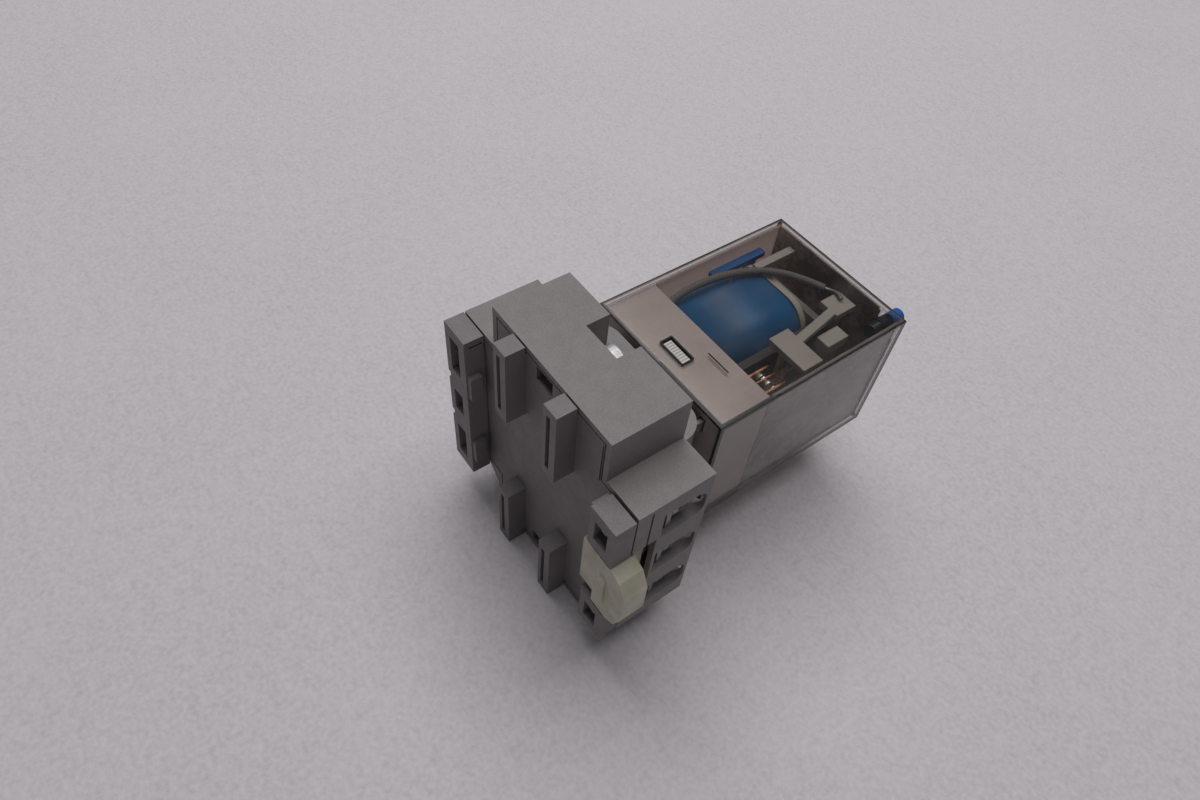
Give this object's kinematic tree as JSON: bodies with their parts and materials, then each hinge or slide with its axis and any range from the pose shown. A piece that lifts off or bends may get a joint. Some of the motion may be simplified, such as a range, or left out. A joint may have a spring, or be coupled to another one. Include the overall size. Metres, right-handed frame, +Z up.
{
  "type": "industrial control relay",
  "caption": "Plug-in control relay with a clear cover, blue coil and test button, seated in a flat grey DIN-rail socket with slotted ribs, a fixed hook and a sliding ivory clip.",
  "frame": {"origin": "under the middle of the object's box, on the surface it lies on", "axes": "+X from the fixed rail hook to the sliding clip, +Y from the rail towards the relay's free end, +Z up as the object lies, along the rail"},
  "size_m": [0.0538, 0.0774, 0.0573],
  "materials": {
    "socket_grey": "fine matte moulded grey",
    "rail_plate_grey": "fine matte moulded grey",
    "clip_ivory": "slightly translucent ivory nylon",
    "relay_grey": "smooth warm grey plastic",
    "clear_cover": "clear polycarbonate, scuffed",
    "relay_panel": "plain grey panel",
    "dark_panel": "dark grey-brown panel",
    "pale_plastic": "pale grey moulded plastic",
    "coil_blue": "blue insulating wrap",
    "steel": "zinc-plated steel",
    "copper": "bare copper alloy strip",
    "lead_grey": "grey woven sleeve",
    "button_blue": "blue moulded plastic"
  },
  "bodies": {
    "socket": {"socket_body": "socket_grey", "rail_plate": "rail_plate_grey", "contact_strip_clip_end_upper": "copper", "contact_strip_clip_end_middle": "copper", "contact_strip_clip_end_lower": "copper", "contact_strip_hook_end_upper": "copper", "contact_strip_hook_end_middle": "copper", "contact_strip_hook_end_lower": "copper", "contact_strip_slab_upper": "copper", "contact_strip_slab_lower": "copper"},
    "rail_clip": {"rail_clip": "clip_ivory"},
    "relay": {"relay_base": "relay_grey", "relay_cover": "clear_cover", "side_panel": "relay_panel", "label_panel": "relay_panel", "end_panel": "dark_panel", "indicator_slide": "button_blue", "coil_bobbin": "pale_plastic", "coil_winding": "coil_blue", "magnet_core": "steel", "magnet_yoke": "steel", "return_spring": "steel", "normally_closed_contact_upper": "copper", "normally_closed_contact_lower": "copper", "normally_open_contact_upper": "copper", "normally_open_contact_lower": "copper", "common_terminal_upper": "copper", "common_terminal_lower": "copper", "coil_pin_upper": "steel", "coil_pin_lower": "steel", "flexible_lead_upper": "lead_grey", "flexible_lead_lower": "lead_grey", "stop_post": "pale_plastic"},
    "armature": {"armature": "steel", "contact_carrier": "pale_plastic"},
    "moving_springs": {"moving_spring_upper": "copper", "moving_spring_lower": "copper"},
    "test_button": {"test_button": "button_blue"},
    "terminal_clip_end_upper": {"screw_clip_end_upper": "steel", "washer_clip_end_upper": "steel"},
    "terminal_clip_end_middle": {"screw_clip_end_middle": "steel", "washer_clip_end_middle": "steel"},
    "terminal_clip_end_lower": {"screw_clip_end_lower": "steel", "washer_clip_end_lower": "steel"},
    "terminal_hook_end_upper": {"screw_hook_end_upper": "steel", "washer_hook_end_upper": "steel"},
    "terminal_hook_end_middle": {"screw_hook_end_middle": "steel", "washer_hook_end_middle": "steel"},
    "terminal_hook_end_lower": {"screw_hook_end_lower": "steel", "washer_hook_end_lower": "steel"},
    "terminal_slab_upper": {"screw_slab_upper": "steel", "washer_slab_upper": "steel"},
    "terminal_slab_lower": {"screw_slab_lower": "steel", "washer_slab_lower": "steel"}
  },
  "joints": [
    {"name": "relay_plug", "type": "slide", "parent": "socket", "child": "relay", "axis": [0, 1, 0], "range_m": [0, 0.012]},
    {"name": "rail_clip_slide", "type": "slide", "parent": "socket", "child": "rail_clip", "axis": [1, 0, 0], "range_m": [0, 0.003], "stiffness_N_per_m": 150, "springref_m": -0.003},
    {"name": "armature_tilt", "type": "hinge", "parent": "relay", "child": "armature", "pos_m": [0.0038, 0.0272, 0.029], "axis": [0, 0, 1], "range_deg": [0, 4], "stiffness_Nm_per_rad": 0.02, "springref_deg": -5.73},
    {"name": "moving_springs_flex", "type": "hinge", "parent": "relay", "child": "moving_springs", "pos_m": [0.0077, 0.0034, 0.029], "axis": [0, 0, 1], "range_deg": [-7, 0]},
    {"name": "test_button_press", "type": "slide", "parent": "relay", "child": "test_button", "axis": [0, -1, 0], "range_m": [0, 0.0015], "stiffness_N_per_m": 100, "springref_m": -0.002},
    {"name": "terminal_clip_end_upper_lift", "type": "slide", "parent": "socket", "child": "terminal_clip_end_upper", "axis": [0, 1, 0], "range_m": [0, 0.003]},
    {"name": "terminal_clip_end_middle_lift", "type": "slide", "parent": "socket", "child": "terminal_clip_end_middle", "axis": [0, 1, 0], "range_m": [0, 0.003]},
    {"name": "terminal_clip_end_lower_lift", "type": "slide", "parent": "socket", "child": "terminal_clip_end_lower", "axis": [0, 1, 0], "range_m": [0, 0.003]},
    {"name": "terminal_hook_end_upper_lift", "type": "slide", "parent": "socket", "child": "terminal_hook_end_upper", "axis": [0, 1, 0], "range_m": [0, 0.003]},
    {"name": "terminal_hook_end_middle_lift", "type": "slide", "parent": "socket", "child": "terminal_hook_end_middle", "axis": [0, 1, 0], "range_m": [0, 0.003]},
    {"name": "terminal_hook_end_lower_lift", "type": "slide", "parent": "socket", "child": "terminal_hook_end_lower", "axis": [0, 1, 0], "range_m": [0, 0.003]},
    {"name": "terminal_slab_upper_lift", "type": "slide", "parent": "socket", "child": "terminal_slab_upper", "axis": [0, 1, 0], "range_m": [0, 0.003]},
    {"name": "terminal_slab_lower_lift", "type": "slide", "parent": "socket", "child": "terminal_slab_lower", "axis": [0, 1, 0], "range_m": [0, 0.003]}
  ],
  "couplings": [
    {"joint": "moving_springs_flex", "follows": "armature_tilt", "ratio": -1.7}
  ]
}
